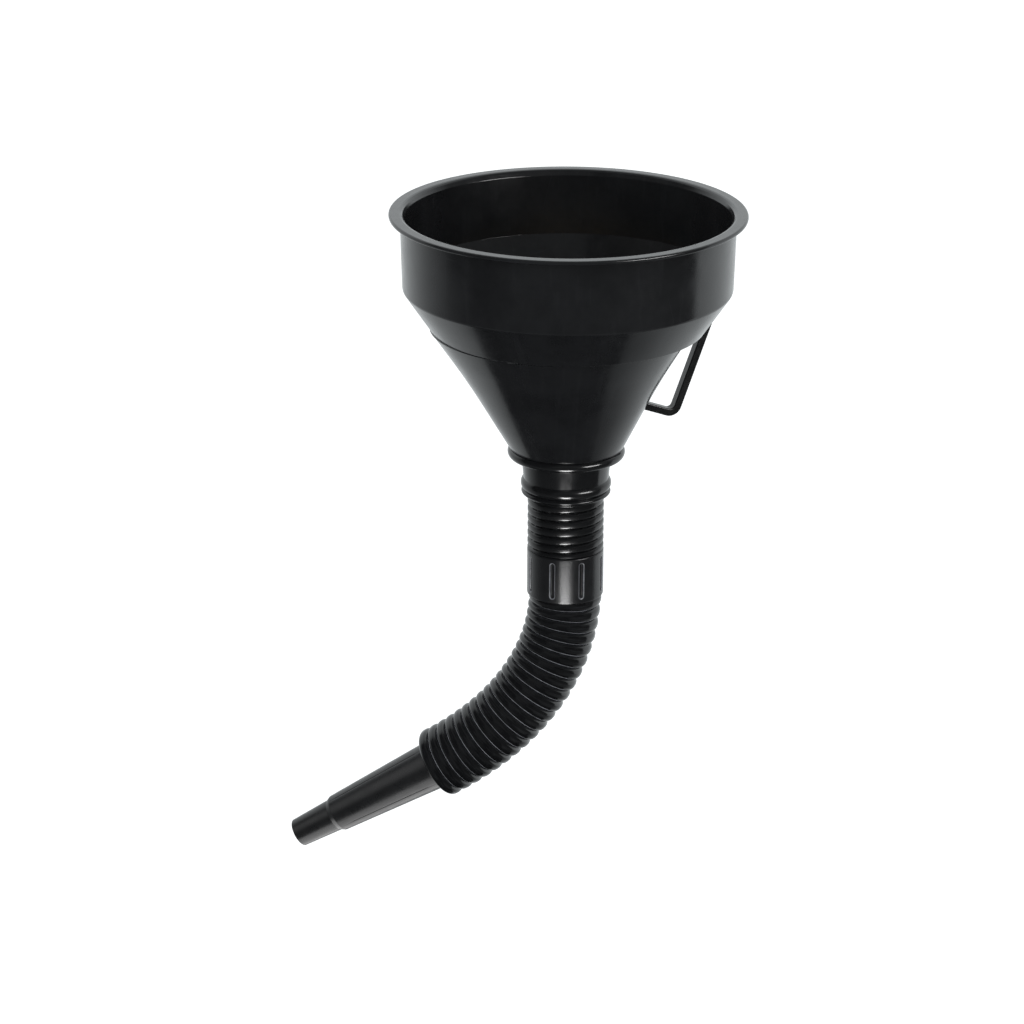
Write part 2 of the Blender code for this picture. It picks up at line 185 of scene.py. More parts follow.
adapter_low, adapter_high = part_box("spout_adapter")
AXIS = (adapter_low + adapter_high) / 2
RIM_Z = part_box("funnel_bowl")[1].z - RIM_HALF * MM
PLACE = Matrix.Translation((AXIS.x, AXIS.y, RIM_Z))


# ---------------------------------------------------------------- mesh helpers


def rounded(corners, closed=True, turn_step=radians(8), rest=5.0):
    """An outline through (r, z, radius) corners, each turned into an arc of that radius."""
    outline = []
    count = len(corners)
    for i, (r, z, radius) in enumerate(corners):
        corner = Vector((r, z))
        if not closed and i in (0, count - 1):
            outline.append([corner])
            continue
        before = Vector(corners[i - 1][:2]) - corner
        after = Vector(corners[(i + 1) % count][:2]) - corner
        turn = pi - before.angle(after)
        if radius <= 0 or turn < 0.002:
            outline.append([corner])
            continue
        half = (pi - turn) / 2
        reach = min(radius / tan(half), 0.45 * before.length, 0.45 * after.length)
        fit = reach * tan(half)
        back, ahead = before.normalized(), after.normalized()
        centre = corner + (back + ahead).normalized() * (fit / sin(half))
        start = corner + back * reach - centre
        end = corner + ahead * reach - centre
        steps = max(3, ceil(turn / turn_step))
        outline.append([centre + start.slerp(end, k / steps).normalized() * fit for k in range(steps + 1)])
    return with_supports(outline, closed, rest)


def with_supports(groups, closed, rest):
    """Joins corner groups with straight runs, each run held flat by a point near both its ends."""
    points = []
    for i, group in enumerate(groups):
        points += group
        if not closed and i == len(groups) - 1:
            break
        start, end = group[-1], groups[(i + 1) % len(groups)][0]
        length = (end - start).length
        if length < 0.9:
            continue
        inset = min(0.2, 0.2 * length)
        spans = max(1, ceil(length / rest))
        stops = [inset] + [length * k / spans for k in range(1, spans)] + [length - inset]
        points += [start.lerp(end, stop / length) for stop in stops]
    return points


def ring_faces(rings, around, closed):
    """Quads between rings of points; the last ring joins the first when closed."""
    faces = []
    for i in range(rings if closed else rings - 1):
        for j in range(around):
            a, b = i * around, ((i + 1) % rings) * around
            k = (j + 1) % around
            faces.append((a + j, a + k, b + k, b + j))
    return faces


def make(name, verts, faces, material, sharp=38.0, highlight_marks=None):
    """A closed, outward-facing, smooth-shaded piece from its points and faces in metres.

    The marks give each point's share, 0 to 1, of the painted highlight line its material can draw.
    """
    mesh = bpy.data.meshes.new(name)
    mesh.from_pydata([tuple(v) for v in verts], [], faces)
    if highlight_marks:
        mesh.attributes.new("worn_line", "FLOAT", "POINT").data.foreach_set("value", highlight_marks)
    bm = bmesh.new()
    bm.from_mesh(mesh)
    bmesh.ops.recalc_face_normals(bm, faces=bm.faces)
    bm.to_mesh(mesh)
    bm.free()
    mesh.shade_smooth()
    mesh.set_sharp_from_angle(angle=radians(sharp))
    mesh.materials.append(material)
    piece = bpy.data.objects.new(name, mesh)
    bpy.context.scene.collection.objects.link(piece)
    return piece


def turned(name, outline, material, steps=192, place=PLACE, move=None, sharp=38.0):
    """A closed outline of (r, z) points spun about the Z axis of place."""
    verts = []
    for i in range(steps):
        angle = 2 * pi * i / steps
        for r, z in outline:
            point = Vector((r * cos(angle), r * sin(angle), z))
            if move:
                point += move(r, z, angle)
            verts.append(place @ (point * MM))
    faces = ring_faces(steps, len(outline), True)
    return make(name, verts, faces, material, sharp)


def bulge(inner, outer, top, height, power, steps):
    """(r, z) points down a moulded bead that stands out from one radius to another."""
    points = []
    for i in range(steps + 1):
        t = 2 * i / steps - 1
        points.append((inner + (outer - inner) * (1 - abs(t) ** power), top - height * i / steps))
    return points


# ---------------------------------------------------------------- material helpers


def node(tree, kind, values=(), **settings):
    """A shader node; values are (socket, number or output socket) pairs."""
    made = tree.nodes.new("ShaderNode" + kind)
    for key, value in settings.items():
        setattr(made, key, value)
    for key, value in values:
        if isinstance(value, bpy.types.NodeSocket):
            tree.links.new(value, made.inputs[key])
        else:
            made.inputs[key].default_value = value
    return made


def math(tree, operation, a, b=0.0):
    return node(tree, "Math", ((0, a), (1, b)), operation=operation).outputs[0]


def ramp(tree, value, low, high, out_low, out_high, smooth=True):
    """The value mapped from one range to another, held at both ends."""
    kind = "SMOOTHSTEP" if smooth else "LINEAR"
    names = ("Value", "From Min", "From Max", "To Min", "To Max")
    values = tuple(zip(names, (value, low, high, out_low, out_high)))
    return node(tree, "MapRange", values, interpolation_type=kind).outputs[0]


def noise(tree, vector, scale, detail=3.0, rough=0.5):
    values = (("Vector", vector), ("Scale", scale), ("Detail", detail), ("Roughness", rough))
    return node(tree, "TexNoise", values).outputs["Fac"]


def axial(tree, about, stretch):
    """Coordinates that run round the bowl's axis and hardly change down it, for moulding streaks."""
    coords = node(tree, "TexCoord").outputs["Object"]
    local = node(tree, "VectorMath", ((0, coords), (1, about)), operation="SUBTRACT").outputs[0]
    parts = node(tree, "SeparateXYZ", (("Vector", local),))
    flat = node(tree, "CombineXYZ", (("X", parts.outputs[0]), ("Y", parts.outputs[1]))).outputs[0]
    unit = node(tree, "VectorMath", ((0, flat),), operation="NORMALIZE").outputs[0]
    tall = math(tree, "MULTIPLY", parts.outputs[2], stretch)
    lift = node(tree, "CombineXYZ", (("Z", tall),)).outputs[0]
    return node(tree, "VectorMath", ((0, unit), (1, lift)), operation="ADD").outputs[0]


def plastic(name, grey, rough, vary, grain, depth, streaks=0.0, scratches=0.0, line=0.0):
    """Moulded black plastic: mottled colour, uneven gloss, fine grain, flow streaks, worn edges and a
    painted highlight line.

    grey is the base colour, rough and vary the roughness and its spread, grain and depth the size and
    the height of the surface grain in millimetres, and the last three how much each mark lightens: the
    flow streaks, the scratches and the painted highlight line on marked points.
    """
    material = bpy.data.materials.new(name)
    material.use_nodes = True
    tree = material.node_tree
    shader = tree.nodes["Principled BSDF"]
    coords = node(tree, "TexCoord").outputs["Object"]
    mottle = noise(tree, coords, 45.0, 4.0, 0.6)
    fine = noise(tree, coords, 1.0 / (grain * MM), 2.0, 0.55)
    cloud = noise(tree, coords, 140.0, 5.0, 0.65)
    shade = ramp(tree, mottle, 0.3, 0.7, grey * 0.85, grey * 1.2)
    gloss = ramp(tree, cloud, 0.3, 0.7, rough - vary, rough + vary)
    if streaks:
        flow = noise(tree, axial(tree, AXIS, 2.5), 14.0, 4.0, 0.6)
        shade = math(tree, "ADD", shade, ramp(tree, flow, 0.52, 0.72, 0.0, streaks))
        gloss = math(tree, "ADD", gloss, ramp(tree, flow, 0.45, 0.75, 0.0, streaks * 6))
    if scratches:
        shade = math(tree, "ADD", shade, scratch_marks(tree, coords, scratches))
    edge = ramp(tree, node(tree, "NewGeometry").outputs["Pointiness"], 0.52, 0.60, 0.0, 1.0)
    worn = math(tree, "MULTIPLY", edge, ramp(tree, cloud, 0.4, 0.65, 0.0, 1.0))
    shade = math(tree, "ADD", shade, math(tree, "MULTIPLY", worn, 0.012))
    gloss = math(tree, "ADD", gloss, math(tree, "MULTIPLY", worn, 0.08))
    # Painted highlight: marked points get a lighter colour in place of a bright reflected edge.
    if line:
        shade = math(tree, "ADD", shade, worn_line(tree, coords, line))
    blue = math(tree, "MULTIPLY", shade, TINT)
    colour = node(tree, "CombineColor", ((0, shade), (1, shade), (2, blue))).outputs[0]
    values = (("Height", fine), ("Distance", depth * MM), ("Strength", 1.0))
    bump = node(tree, "Bump", values).outputs[0]
    tree.links.new(colour, shader.inputs["Base Color"])
    tree.links.new(gloss, shader.inputs["Roughness"])
    tree.links.new(bump, shader.inputs["Normal"])
    shader.inputs["IOR"].default_value = 1.5
    return material


def scratch_marks(tree, coords, strength):
    """Handling scratches in patches, as an amount that lightens the colour."""
    values = (("Vector", stretched(tree, coords)), ("Scale", 60.0))
    lines = node(tree, "TexVoronoi", values, feature="DISTANCE_TO_EDGE").outputs[0]
    patch = ramp(tree, noise(tree, coords, 30.0, 2.0), 0.55, 0.65, 0.0, 1.0)
    thin = ramp(tree, lines, 0.0, 0.006, strength, 0.0)
    return math(tree, "MULTIPLY", thin, patch)


def worn_line(tree, coords, strength):
    """The painted highlight line on the points a piece marks for it, patchy along its length: a lighter
    colour in place of a bright reflected edge.
    """
    marked = node(tree, "Attribute", attribute_name="worn_line").outputs["Fac"]
    patchy = ramp(tree, noise(tree, coords, 220.0, 4.0, 0.6), 0.25, 0.75, 0.55, 1.3)
    return math(tree, "MULTIPLY", marked, math(tree, "MULTIPLY", patchy, strength))


def stretched(tree, coords):
    """Stretched and turned coordinates, so that cell edges read as long handling scratches."""
    values = (("Vector", coords), ("Scale", (1.0, 1.0, 0.22)), ("Rotation", (0.4, 0.2, 0.3)))
    return node(tree, "Mapping", values).outputs[0]


def brass():
    """Drawn brass wire: warm metal, darker where dirt has gathered."""
    material = bpy.data.materials.new("brass_wire")
    material.use_nodes = True
    tree = material.node_tree
    shader = tree.nodes["Principled BSDF"]
    coords = node(tree, "TexCoord").outputs["Object"]
    dirt = noise(tree, coords, 90.0, 5.0, 0.65)
    mix = node(tree, "Mix", ((0, ramp(tree, dirt, 0.4, 0.65, 0.0, 1.0)),), data_type="RGBA")
    mix.inputs[6].default_value = (0.70, 0.52, 0.26, 1.0)
    mix.inputs[7].default_value = (0.30, 0.20, 0.10, 1.0)
    fine = noise(tree, coords, 6000.0, 2.0)
    bump = node(tree, "Bump", (("Height", fine), ("Distance", 0.00001))).outputs[0]
    tree.links.new(mix.outputs[2], shader.inputs["Base Color"])
    tree.links.new(ramp(tree, dirt, 0.3, 0.7, 0.25, 0.5), shader.inputs["Roughness"])
    tree.links.new(bump, shader.inputs["Normal"])
    shader.inputs["Metallic"].default_value = 1.0
    return material


# ---------------------------------------------------------------- bowl


def cone_rise(z):
    return min(max((z - CONE_FOOT[1]) / (CONE_TOP[1] - CONE_FOOT[1]), 0.0), 1.0)


def cone_lean(r, z, _angle):
    """The lower cone's top is shifted away from the handle, inside and outside."""
    away = Vector((-cos(HANDLE_AZIMUTH), -sin(HANDLE_AZIMUTH), 0.0)) * CONE_SHIFT
    outer = z < (STEP[1] + CONE_TOP[1]) / 2
    inner = z < LEDGE_Z + 0.05 and r < 58.5
    return away * cone_rise(z) if outer or inner else Vector()


def bowl_outline():
    corners = [
        (75.3, RIM_HALF, 1.2),
        (RIM_RADIUS, RIM_HALF, 1.0),
        (RIM_RADIUS, -RIM_HALF, 1.0),
        (75.0, -RIM_HALF, 0.35),
        (*BAND_BOTTOM, 2.2),
        (*STEP, 0.22),
        (*CONE_TOP, 0.22),
        (*CONE_BEND, 300.0),
        (*CONE_FOOT, 0.35),
        (SPIGOT_RADIUS, CONE_FOOT[1], 0.5),
        (SPIGOT_RADIUS, SPIGOT_END, 0.3),
        (SPIGOT_BORE, SPIGOT_END, 0.3),
        (SPIGOT_BORE, CONE_FOOT[1] + 2.0, 1.5),
        (CONE_FOOT[0] - CONE_WALL, CONE_FOOT[1] + 5.5, 1.0),
        (56.9, LEDGE_Z, 0.25),
        (60.2, LEDGE_Z, 0.3),
        (72.0, -29.2, 0.35),
        (72.9, -1.6, 0.9),
        (73.7, 0.2, 0.9),
        (74.4, 0.8, 0.5),
    ]
    return rounded(corners)


def build_bowl(material):
    bowl = turned("bowl_shell", bowl_outline(), material, 256, move=cone_lean)
    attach(bowl, "bowl")
    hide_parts("funnel_bowl")


def strap_path():
    """The strap's middle line in the handle plane, both ends sunk into the bowl's wall."""
    down = Vector((-sin(HANDLE_LEAN), -cos(HANDLE_LEAN)))
    inward = Vector((-cos(HANDLE_LEAN), sin(HANDLE_LEAN)))
    top = Vector(HANDLE_TOP)
    foot = top + down * HANDLE_BAR
    upper = inward_to(top, inward, BAND_BOTTOM, STEP, 0.0)
    lower = inward_to(foot, inward, CONE_BEND, CONE_FOOT, CONE_SHIFT * cone_rise(CONE_BEND[1]))
    corners = [(*upper, 0), (*top, HANDLE_BEND), (*foot, HANDLE_BEND), (*lower, 0)]
    return rounded(corners, closed=False, turn_step=radians(6), rest=4.0)


def inward_to(point, direction, high, low, shift):
    """Where a line in (r, z) meets the wall between two outline points, and 0.9 mm beyond."""
    slope = (high[0] - shift - low[0]) / (high[1] - low[1])
    offset = point.x - (low[0] + slope * (point.y - low[1]))
    step = offset / (slope * direction.y - direction.x)
    return point + direction * (step + 0.9)


def strap_section():
    """The strap's cross-section as (across, along the bowl's tangent), with rounded edges."""
    half, width, edge = HANDLE_THICK / 2, HANDLE_WIDTH / 2, 0.55
    corners = [(half, -width, edge), (half, width, edge), (-half, width, edge), (-half, -width, edge)]
    return rounded(corners, turn_step=radians(15), rest=3.0)


def build_handle(material):
    path, section = strap_path(), strap_section()
    turn = Matrix.Rotation(HANDLE_AZIMUTH, 4, "Z")
    verts = []
    for i, point in enumerate(path):
        along = (path[min(i + 1, len(path) - 1)] - path[max(i - 1, 0)]).normalized()
        across = Vector((-along.y, along.x))
        for a, y in section:
            spot = point + across * a
            verts.append(PLACE @ turn @ (Vector((spot.x, y, spot.y)) * MM))
    faces = ring_faces(len(path), len(section), False)
    faces.append(tuple(range(len(section))))
    faces.append(tuple(range(len(verts) - len(section), len(verts))))
    handle = make("handle_strap", verts, faces, material)
    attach(handle, "bowl")
    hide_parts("handle")


# ---------------------------------------------------------------- strainer


def build_strainer(ring_material, wire_material):
    seat = LEDGE_Z + 0.35
    corners = [
        (STRAINER_RADIUS, seat + STRAINER_HEIGHT, 0.5),
        (56.4, seat + STRAINER_HEIGHT, 0.4),
        (56.4, seat + STRAINER_REBATE, 0.15),
        (STRAINER_OPENING, seat + STRAINER_REBATE, 0.3),
        (STRAINER_OPENING, seat, 0.3),
        (STRAINER_RADIUS, seat, 0.6),
    ]
    ring = turned("strainer_ring", rounded(corners), ring_material, 160)
    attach(ring, "strainer")
    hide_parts("strainer_frame")
    wires = build_wires(seat + 1.45, wire_material)
    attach(wires, "strainer")
    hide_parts("strainer_gauze")


def build_wires(height, material):
    """Plain-woven wires in both directions, held in a hem ring."""
    count = int(WIRE_REACH / WIRE_PITCH)
    verts, faces = [], []
    for way in (0, 1):
        for i in range(-count, count + 1):
            across = i * WIRE_PITCH
            reach = (WIRE_REACH**2 - across**2) ** 0.5 - 0.1
            if reach < 2:
                continue
            points = []
            steps = max(4, ceil(2 * reach / (WIRE_PITCH / 4)))
            for k in range(steps + 1):
                along = -reach + 2 * reach * k / steps
                wave = WIRE_RADIUS * cos(pi * along / WIRE_PITCH) * (1 if (i + way) % 2 else -1)
                spot = (along, across, wave) if way == 0 else (across, along, wave)
                points.append(Vector(spot) + Vector((0, 0, height)))
            add_tube(verts, faces, points, WIRE_RADIUS, 6)
    hem = []
    for k in range(160):
        angle = 2 * pi * k / 160
        hem.append(Vector((WIRE_REACH * cos(angle), WIRE_REACH * sin(angle), height)))
    add_tube(verts, faces, hem, HEM_RADIUS, 10, True)
    return make("strainer_wires", [PLACE @ (v * MM) for v in verts], faces, material, 60)


def add_tube(verts, faces, points, radius, sides, loop=False):
    """A round wire along points, added to a shared list of points and faces."""
    base, count = len(verts), len(points)
    for i, point in enumerate(points):
        if loop:
            along = points[(i + 1) % count] - points[i - 1]
        else:
            along = points[min(i + 1, count - 1)] - points[max(i - 1, 0)]
        along.normalize()
        side = along.cross(Vector((0, 0, 1))).normalized()
        up = side.cross(along)
        for k in range(sides):
            angle = 2 * pi * k / sides
            verts.append(point + side * radius * cos(angle) + up * radius * sin(angle))
    faces += [tuple(base + v for v in face) for face in ring_faces(count, sides, loop)]
    if not loop:
        faces.append(tuple(base + k for k in range(sides)))
        faces.append(tuple(base + (count - 1) * sides + k for k in range(sides)))


# ---------------------------------------------------------------- spout adapter


def adapter_outline():
    """Lip, neck, two beads and bore."""
    points = []
    for i in range(25):
        angle = radians(90 - 180 * i / 24)
        points.append((LIP_RADIUS + LIP_REACH * cos(angle), LIP_Z + LIP_HALF * sin(angle)))
    points += rounded([(24.4, -113.3, 0), (*NECK_TOP, 1.3), (*NECK_FOOT, 0)], False)
    points += bulge(inner=19.5, outer=20.65, top=-123.6, height=5.1, power=2.4, steps=22)
    points += bulge(inner=19.3, outer=20.4, top=-128.8, height=2.5, power=2.0, steps=14)
    points += rounded([(19.0, -131.4, 0), (*BEADS_END, 0.4), (ADAPTER_BORE, -131.8, 0)], False)
    points += [(ADAPTER_BORE, -130.5), (17.4, -128.4), (ADAPTER_SEAT, -128.2)]
    points += [(ADAPTER_SEAT, -110.0), (17.9, -109.05), (24.2, -109.05)]
    return clean(points)


def tail_outline():
    """The threaded tail at its full radius, the plain tail inside the sleeve, and the bore."""
    root = 17.2
    points = [(14.1, -131.2), (root, -131.2), (root, THREAD_TOP + 0.4), (THREAD_RADIUS, THREAD_TOP)]
    rows = round((THREAD_TOP - THREAD_END) / THREAD_ROW)
    points += [(THREAD_RADIUS, THREAD_TOP - THREAD_ROW * i) for i in range(1, rows + 1)]
    points += [(TAIL_RADIUS, THREAD_END - 0.1), (TAIL_RADIUS, -160.0)]
    points += [(TAIL_RADIUS, TAIL_END + 0.3), (TAIL_RADIUS - 0.3, TAIL_END)]
    points += [(ADAPTER_BORE + 0.3, TAIL_END), (ADAPTER_BORE, TAIL_END + 0.3)]
    points += [(ADAPTER_BORE, -152.0), (ADAPTER_BORE, -131.9)]
    return clean(points)


def thread(r, z, angle):
    """How far a point of the threaded stretch is sunk, along a groove that climbs as it turns."""
    if r != THREAD_RADIUS or z > THREAD_TOP - 0.01:
        return Vector()
    turns = (THREAD_GROOVE - z) / THREAD_PITCH + (angle - THREAD_FACE) / (2 * pi)
    across = 2 * (turns - floor(turns)) - 1
    fade = min((THREAD_TOP - z) / 1.0, (z - THREAD_END) / 0.5, 1.0)
    depth = THREAD_DEPTH * abs(across) ** 4 * max(fade, 0.0)
    return Vector((cos(angle), sin(angle), 0.0)) * -depth


def clean(points):
    """The outline without points that lie on one another."""
    kept = []
    for point in points:
        if not kept or hypot(point[0] - kept[-1][0], point[1] - kept[-1][1]) > 0.01:
            kept.append((point[0], point[1]))
    return kept


def build_adapter(material, tail_material):
    body = turned("adapter_body", adapter_outline(), material, 160)
    tail = turned("thread_tail", tail_outline(), tail_material, 200, move=thread, sharp=60)
    for piece in (body, tail):
        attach(piece, "bowl")
        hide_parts("spout_adapter")


# ---------------------------------------------------------------- grip sleeve


def slot_depth(offset, z):
    """How deep the grip slot is at this distance round from its middle line and this height."""
    middle = (SLEEVE_TOP + SLEEVE_BOTTOM) / 2
    straight = SLOT_LENGTH / 2 - SLOT_HALF
    beyond = max(abs(z - middle) - straight, 0.0)
    share = min(max((SLOT_HALF - hypot(offset, beyond)) / SLOT_WALL, 0.0), 1.0)
    eased = share * share * (3 - 2 * share)
    return SLOT_DEPTH * (0.45 * share + 0.55 * eased)


def slot_highlight_mark(offset, z):
    """1 on the slot's upper edge, where a painted highlight lightens the colour, fading to 0 on both sides
    of it.
    """
    middle = (SLEEVE_TOP + SLEEVE_BOTTOM) / 2
    beyond = max(abs(z - middle) - SLOT_LENGTH / 2 + SLOT_HALF, 0.0)
    inside = SLOT_HALF - hypot(offset, beyond)
    return min(max((inside + 0.22) / 0.16, 0.0), 1.0) * min(max((0.34 - inside) / 0.16, 0.0), 1.0)


def slot_columns():
    """Offsets round one eighth of the sleeve, close together at the slot's walls."""
    half = SLEEVE_RADIUS * pi / SLOT_COUNT
    near = [0.0, 0.3] + [0.5 + 0.09 * i for i in range(12)] + [1.7, 2.0, 2.6, 3.6, 4.8]
    return [-half] + [-v for v in reversed(near) if v > 0] + near


def sleeve_rows():
    middle = (SLEEVE_TOP + SLEEVE_BOTTOM) / 2
    straight = SLOT_LENGTH / 2 - SLOT_HALF
    steps = [0.0, 2.4, 4.8, 6.4] + [straight + 0.1 * i for i in range(0, 19)]
    rows = [middle + s for s in reversed(steps)] + [middle - s for s in steps[1:]]
    return [(SLEEVE_RADIUS, z, 0) for z in rows]


def build_sleeve(material):
    corners = [(SLEEVE_SEAT, SLEEVE_TOP, 0.3), (SLEEVE_RADIUS, SLEEVE_TOP, 0.7)]
    corners += sleeve_rows()
    corners += [
        (SLEEVE_RADIUS, SLEEVE_BOTTOM, 0.7),
        (COLLAR_RADIUS, SLEEVE_BOTTOM, 0.3),
        (COLLAR_RADIUS, SLEEVE_BOTTOM - COLLAR_LENGTH, 0.2),
        (SLEEVE_BORE, SLEEVE_BOTTOM - COLLAR_LENGTH, 0.2),
        (SLEEVE_BORE, SLEEVE_BOTTOM + 1.4, 0.5),
        (SLEEVE_SEAT, SLEEVE_BOTTOM + 2.2, 0.5),
    ]
    outline = rounded(corners)
    verts, highlight_marks = [], []
    for i in range(SLOT_COUNT):
        for offset in slot_columns():
            angle = SLOT_FIRST + (i * 2 * pi / SLOT_COUNT) + offset / SLEEVE_RADIUS
            for r, z in outline:
                on_wall = r > SLEEVE_RADIUS - 0.01
                # Share of the painted highlight on the slot rims, on the outer wall only.
                highlight_marks.append(slot_highlight_mark(offset, z) if on_wall else 0.0)
                if on_wall:
                    r -= slot_depth(offset, z)
                verts.append(PLACE @ (Vector((r * cos(angle), r * sin(angle), z)) * MM))
    columns = SLOT_COUNT * len(slot_columns())
    faces = ring_faces(columns, len(outline), True)
    sleeve = make("sleeve_body", verts, faces, material, 42, highlight_marks)
    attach(sleeve, "grip")
    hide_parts("grip_sleeve")


# ---------------------------------------------------------------- hose and nozzle


def hose_hinges():
    """The hinge points between convolutions, from the top down."""
    return [Vector(j["pos_m"]) for j in frame["joints"] if j["name"].startswith("hose_")]


def hose_line():
    """(crest centres, directions): the bellows' centre line through its crests, in metres."""
    hinges = hose_hinges()
    tip = next(m for m in frame["record"]["mounts"] if m["name"] == "nozzle_tip")
    last = Vector(tip["axis"]).normalized()
    end = hinges[-1] + last * (PITCH / 2 * MM)
    centres = [(a + b) / 2 for a, b in zip(hinges, hinges[1:])]
    ways = [(b - a).normalized() for a, b in zip(hinges, hinges[1:])]
    first_way = (ways[0] * 2 - ways[1]).normalized()
    centres = [hinges[0] * 2 - centres[0]] + centres + [end]
    return centres, [first_way] + ways + [last]


def cross_frame(way):
    """Two directions across the hose, the same for both pieces that meet at a crest."""
    first = way.cross(Vector((0, 1, 0))).normalized()
    return first, way.cross(first)


def between(a, way_a, b, way_b, w):
    """A point and a direction on the smooth curve from a to b."""
    pull = (b - a).length
    h1, h2 = 2 * w**3 - 3 * w**2 + 1, w**3 - 2 * w**2 + w
    h3, h4 = -2 * w**3 + 3 * w**2, w**3 - w**2
    point = a * h1 + way_a * pull * h2 + b * h3 + way_b * pull * h4
    return point, way_a.lerp(way_b, w).normalized()


def skin(name, outer, ends, material):
    """A tube of hose wall along one stretch; outer holds (r, share of the stretch) points."""
    a, way_a, b, way_b = ends
    inner = [(VALLEY - SKIN, outer[-1][1]), (VALLEY - SKIN, 0.5), (VALLEY - SKIN, outer[0][1])]
    verts, highlight_marks = [], []
    for r, w in outer + inner:
        # Each ring's share of the painted highlight on the lobe's lower edge.
        highlight_marks += [edge_highlight_mark(r, w * PITCH)] * HOSE_STEPS
        point, way = between(a, way_a, b, way_b, w)
        across, other = cross_frame(way)
        for k in range(HOSE_STEPS):
            angle = 2 * pi * k / HOSE_STEPS
            verts.append(point + (across * cos(angle) + other * sin(angle)) * r * MM)
    faces = ring_faces(len(outer + inner), HOSE_STEPS, True)
    return make(name, verts, faces, material, 50, highlight_marks)


def lobe_outline():
    """(r, s) points from one crest to the next: a full round lobe, its sharp lower edge, a groove."""
    corners = [
        (CREST, 0.0, 0),
        (CREST, 1.0, 1.4),
        (16.3, 1.95, 1.4),
        (EDGE_RADIUS, EDGE_AT, 0.22),
        (VALLEY, EDGE_AT + 0.15, 0.08),
        (VALLEY, EDGE_AT + 0.27, 0.08),
        (15.3, EDGE_AT + 0.45, 0.3),
        (16.3, 3.8, 1.0),
        (CREST, 4.7, 1.4),
        (CREST, PITCH, 0),
    ]
    return rounded(corners, False)


def wave_outline():
    """One convolution's wall from crest to crest as (r, share) points."""
    return [(r, s / PITCH) for r, s in lobe_outline()]


def first_outline(length):
    """The part of the first convolution between the sleeve and its own crest."""
    start = PITCH - length + 0.05
    return [(r, (s - PITCH + length) / length) for r, s in lobe_outline() if s > start]


def edge_highlight_mark(r, s):
    """1 on the lower edge of a lobe, s along from its crest, where a painted highlight lightens the colour.
    """
    near = max(0.0, 1 - abs(s - EDGE_AT) / 0.42)
    return near if r > EDGE_RADIUS - 0.9 else 0.0


def build_hose(material):
    centres, ways = hose_line()
    mouth = PLACE @ Vector((0, 0, SLEEVE_BOTTOM * MM))
    length = (centres[0] - mouth).length / MM
    ends = (mouth, Vector((0, 0, -1)), centres[0], ways[0])
    first = skin("hose_wave_00", first_outline(length), ends, material)
    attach(first, "grip")
    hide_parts("hose_link_00")
    for i in range(1, LINKS):
        ends = (centres[i - 1], ways[i - 1], centres[i], ways[i])
        wave = skin(f"hose_wave_{i:02d}", wave_outline(), ends, material)
        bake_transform(wave)
        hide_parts(f"hose_link_{i:02d}")
    return centres[-1], ways[-1]


def end_frame(centre, way):
    """Z points back up the hose, as in the CAD, and X lies in the upright plane."""
    side = Vector((0, 0, 1)).cross(way).normalized()
    up = -way
    rotation = Matrix((side.cross(up), side, up)).transposed().to_4x4()
    return Matrix.Translation(centre + way * (PITCH / 2 * MM)) @ rotation


def build_hose_end(place, material):
    """The last half convolution, which closes on the nozzle."""
    lift, mouth = PITCH / 2, 11.7
    shell = [(r, s) for r, s in lobe_outline() if s < EDGE_AT + 0.1 and r > EDGE_RADIUS - 1.5]
    outline = [(r, lift - s) for r, s in shell]
    outline += [(VALLEY, lift - EDGE_AT), (mouth, lift - EDGE_AT + 0.1)]
    outline += [(mouth, lift - 0.9), (VALLEY - SKIN, lift)]
    end = turned("hose_end", outline, material, HOSE_STEPS, place, sharp=50)
    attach(end, "nozzle")


def witness(angle, z, lines):
    """A fine parting groove that runs down the nozzle and fades at its ends."""
    total = 0.0
    for centre, start, stop in lines:
        gap = abs((angle - centre + pi) % (2 * pi) - pi)
        fade = min(max((-z - start) / 3.0, 0.0), 1.0) * min(max((stop + z) / 6.0, 0.0), 1.0)
        total -= LINE_DEPTH * max(1 - gap / LINE_HALF, 0.0) * fade
    return total


def build_nozzle(place, material):
    corners = [
        (11.4, 2.3, 0.1),
        (11.4, -0.1, 0.1),
        (12.5, -0.1, 0.2),
        (12.5, -0.6, 0.2),
        (NOZZLE_ROOT, -1.1, 0.5),
        (NOZZLE_SHOULDER, -NOZZLE_SHOULDER_AT, 0.7),
        (NOZZLE_STEP, -NOZZLE_SHOULDER_AT - 2.2, 0.8),
        (NOZZLE_TIP, -NOZZLE_LENGTH, 0.35),
        (NOZZLE_TIP - NOZZLE_WALL, -NOZZLE_LENGTH, 0.35),
        (6.35, -NOZZLE_SHOULDER_AT, 2.0),
        (10.0, 2.3, 0.2),
    ]
    outline = rounded(corners, rest=3.0)
    upper, lower = (nozzle_facing(place) + angle for angle in LINE_ANGLES)
    lines = ((upper, 3.0, 54.0), (lower, 3.0, 56.0))
    angles = nozzle_angles([line[0] for line in lines])
    verts = []
    for angle in angles:
        for r, z in outline:
            outside = r > NOZZLE_TIP - 0.05 + (NOZZLE_LENGTH + z) * 0.03 and z < -1.2
            r += witness(angle, z, lines) if outside else 0.0
            verts.append(place @ (Vector((r * cos(angle), r * sin(angle), z)) * MM))
    nozzle = make("nozzle_body", verts, ring_faces(len(angles), len(outline), True), material)
    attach(nozzle, "nozzle")
    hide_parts("nozzle", "hose_link_20")


def nozzle_facing(place):
    """The angle round the nozzle that faces the front of the funnel and a little up."""
    front = place.to_3x3().inverted() @ Vector((0.06, -0.90, 0.42))
    return atan2(front.y, front.x)


